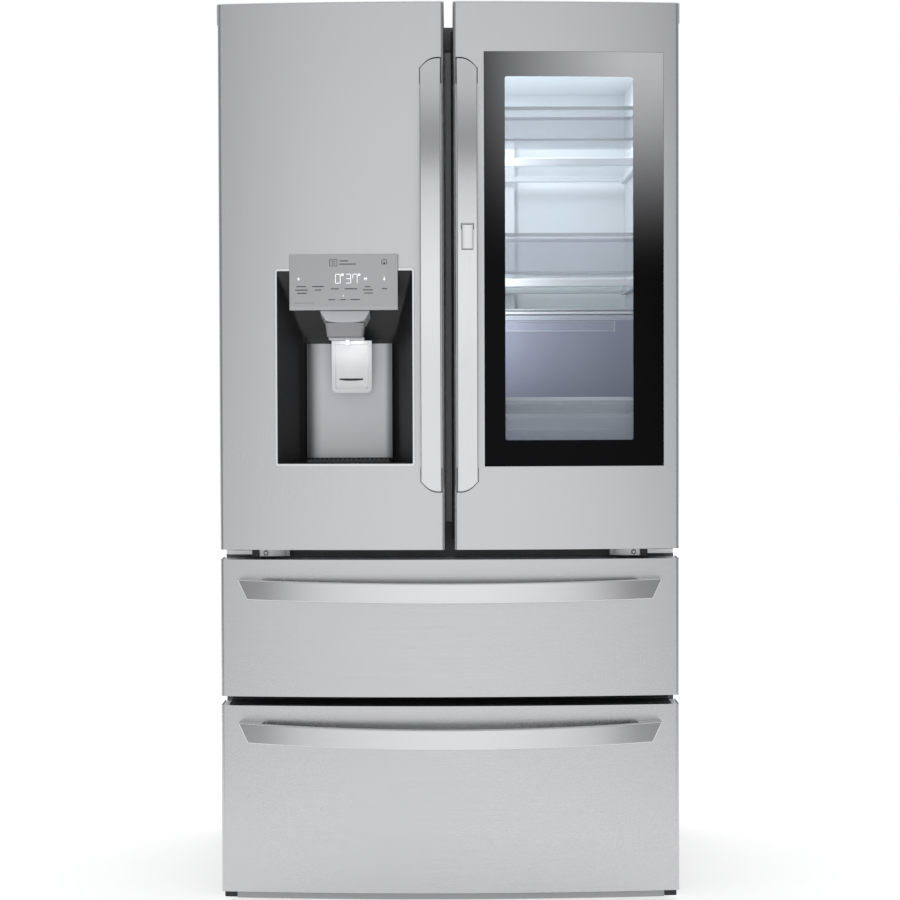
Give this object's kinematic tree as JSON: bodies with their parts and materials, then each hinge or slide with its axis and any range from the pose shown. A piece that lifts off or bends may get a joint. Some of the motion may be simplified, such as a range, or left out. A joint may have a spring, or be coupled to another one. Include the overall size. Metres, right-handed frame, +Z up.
{
  "type": "french door refrigerator",
  "caption": "Tall stainless refrigerator with two upper doors, one holding a window door and the other an ice and water dispenser, above two freezer drawers.",
  "frame": {"origin": "on the floor, at the centre of the overall width and depth", "axes": "+X to the viewer's right, the doors and drawers face -Y, +Z up"},
  "size_m": [0.908, 0.921, 1.772],
  "materials": {
    "brushed_steel": "satin stainless steel with a fine grain",
    "handle_steel": "smoother satin stainless steel",
    "case_paint": "dark grey textured paint",
    "liner_white": "white moulded plastic",
    "foam": "rigid insulating foam",
    "gasket_rubber": "dark soft seal",
    "dark_plastic": "near-black moulded plastic",
    "grey_plastic": "mid grey moulded plastic",
    "panel_silver": "silver-grey metallic plastic",
    "clear_plastic": "clear moulded plastic",
    "shelf_glass": "tempered shelf glass",
    "window_glass": "dark mirrored glass with a clear middle",
    "hinge_steel": "zinc-coated steel",
    "black_paint": "black paint",
    "brass": "machined brass"
  },
  "bodies": {
    "cabinet": {"air_duct": "liner_white", "base_pan": "black_paint", "cabinet_back": "case_paint", "cabinet_front_frame": "case_paint", "cabinet_insulation": "foam", "cabinet_wrapper": "case_paint", "centre_hinge_left": "hinge_steel", "centre_hinge_right": "hinge_steel", "compressor": "black_paint", "compressor_cover": "case_paint", "crisper_cover": "shelf_glass", "freezer_liner": "liner_white", "fresh_food_liner": "liner_white", "front_foot_left": "dark_plastic", "front_foot_right": "dark_plastic", "kick_trim": "grey_plastic", "power_inlet": "dark_plastic", "shelf_lower": "shelf_glass", "shelf_upper": "shelf_glass", "top_hinge_left": "grey_plastic", "top_hinge_right": "grey_plastic", "water_inlet": "brass"},
    "rollers": {"rear_rollers": "dark_plastic"},
    "left_door": {"left_door_skin": "brushed_steel", "left_door_inner": "liner_white", "left_door_gasket": "gasket_rubber", "left_handle": "handle_steel", "ice_compartment": "liner_white", "left_door_bin": "clear_plastic", "dispenser_housing": "dark_plastic", "dispenser_trim": "panel_silver", "dispenser_panel": "panel_silver", "dispenser_back": "panel_silver", "ice_chute": "grey_plastic", "drip_tray": "dark_plastic"},
    "paddle": {"dispenser_paddle": "grey_plastic"},
    "flipper": {"flipper_mullion": "case_paint"},
    "right_door": {"right_door_frame": "liner_white", "right_door_gasket": "gasket_rubber", "right_bin_top": "clear_plastic", "right_bin_middle": "clear_plastic", "right_bin_bottom": "clear_plastic"},
    "window_door": {"window_door_skin": "brushed_steel", "window_door_inner": "liner_white", "window_glass": "window_glass", "window_door_gasket": "gasket_rubber", "right_handle": "handle_steel"},
    "latch_button": {"latch_button": "panel_silver"},
    "upper_drawer": {"upper_drawer_skin": "brushed_steel", "upper_drawer_inner": "liner_white", "upper_drawer_handle": "handle_steel", "upper_basket": "clear_plastic"},
    "lower_drawer": {"lower_drawer_skin": "brushed_steel", "lower_drawer_inner": "liner_white", "lower_drawer_handle": "handle_steel", "lower_basket": "clear_plastic"},
    "freezer_tray": {"freezer_tray": "clear_plastic"},
    "crisper_left": {"crisper_left": "clear_plastic"},
    "crisper_right": {"crisper_right": "clear_plastic"},
    "pantry_drawer": {"pantry_drawer": "clear_plastic"}
  },
  "joints": [
    {"name": "left_door_swing", "type": "hinge", "parent": "cabinet", "child": "left_door", "pos_m": [-0.434, -0.3175, 1.236], "axis": [0, 0, -1], "range_deg": [0, 100]},
    {"name": "right_door_swing", "type": "hinge", "parent": "cabinet", "child": "right_door", "pos_m": [0.434, -0.3175, 1.236], "axis": [0, 0, 1], "range_deg": [0, 100]},
    {"name": "window_door_swing", "type": "hinge", "parent": "right_door", "child": "window_door", "pos_m": [0.448, -0.343, 1.236], "axis": [0, 0, 1], "range_deg": [0, 80]},
    {"name": "latch_press", "type": "slide", "parent": "window_door", "child": "latch_button", "axis": [0, 1, 0], "range_m": [0, 0.003], "stiffness_N_per_m": 400},
    {"name": "flipper_fold", "type": "hinge", "parent": "left_door", "child": "flipper", "pos_m": [-0.0355, -0.2707, 1.22], "axis": [0, 0, 1], "range_deg": [0, 90]},
    {"name": "paddle_push", "type": "hinge", "parent": "left_door", "child": "paddle", "pos_m": [-0.19335, -0.331, 1.11], "axis": [1, 0, 0], "range_deg": [0, 10], "stiffness_Nm_per_rad": 0.6},
    {"name": "upper_drawer_slide", "type": "slide", "parent": "cabinet", "child": "upper_drawer", "axis": [0, -1, 0], "range_m": [0, 0.38]},
    {"name": "lower_drawer_slide", "type": "slide", "parent": "cabinet", "child": "lower_drawer", "axis": [0, -1, 0], "range_m": [0, 0.38]},
    {"name": "freezer_tray_slide", "type": "slide", "parent": "lower_drawer", "child": "freezer_tray", "axis": [0, 1, 0], "range_m": [0, 0.18]},
    {"name": "crisper_left_slide", "type": "slide", "parent": "cabinet", "child": "crisper_left", "axis": [0, -1, 0], "range_m": [0, 0.09]},
    {"name": "crisper_right_slide", "type": "slide", "parent": "cabinet", "child": "crisper_right", "axis": [0, -1, 0], "range_m": [0, 0.09]},
    {"name": "pantry_slide", "type": "slide", "parent": "cabinet", "child": "pantry_drawer", "axis": [0, -1, 0], "range_m": [0, 0.09]},
    {"name": "roller_spin", "type": "hinge", "parent": "cabinet", "child": "rollers", "pos_m": [0, 0.36, 0.021], "axis": [1, 0, 0], "continuous": true}
  ]
}
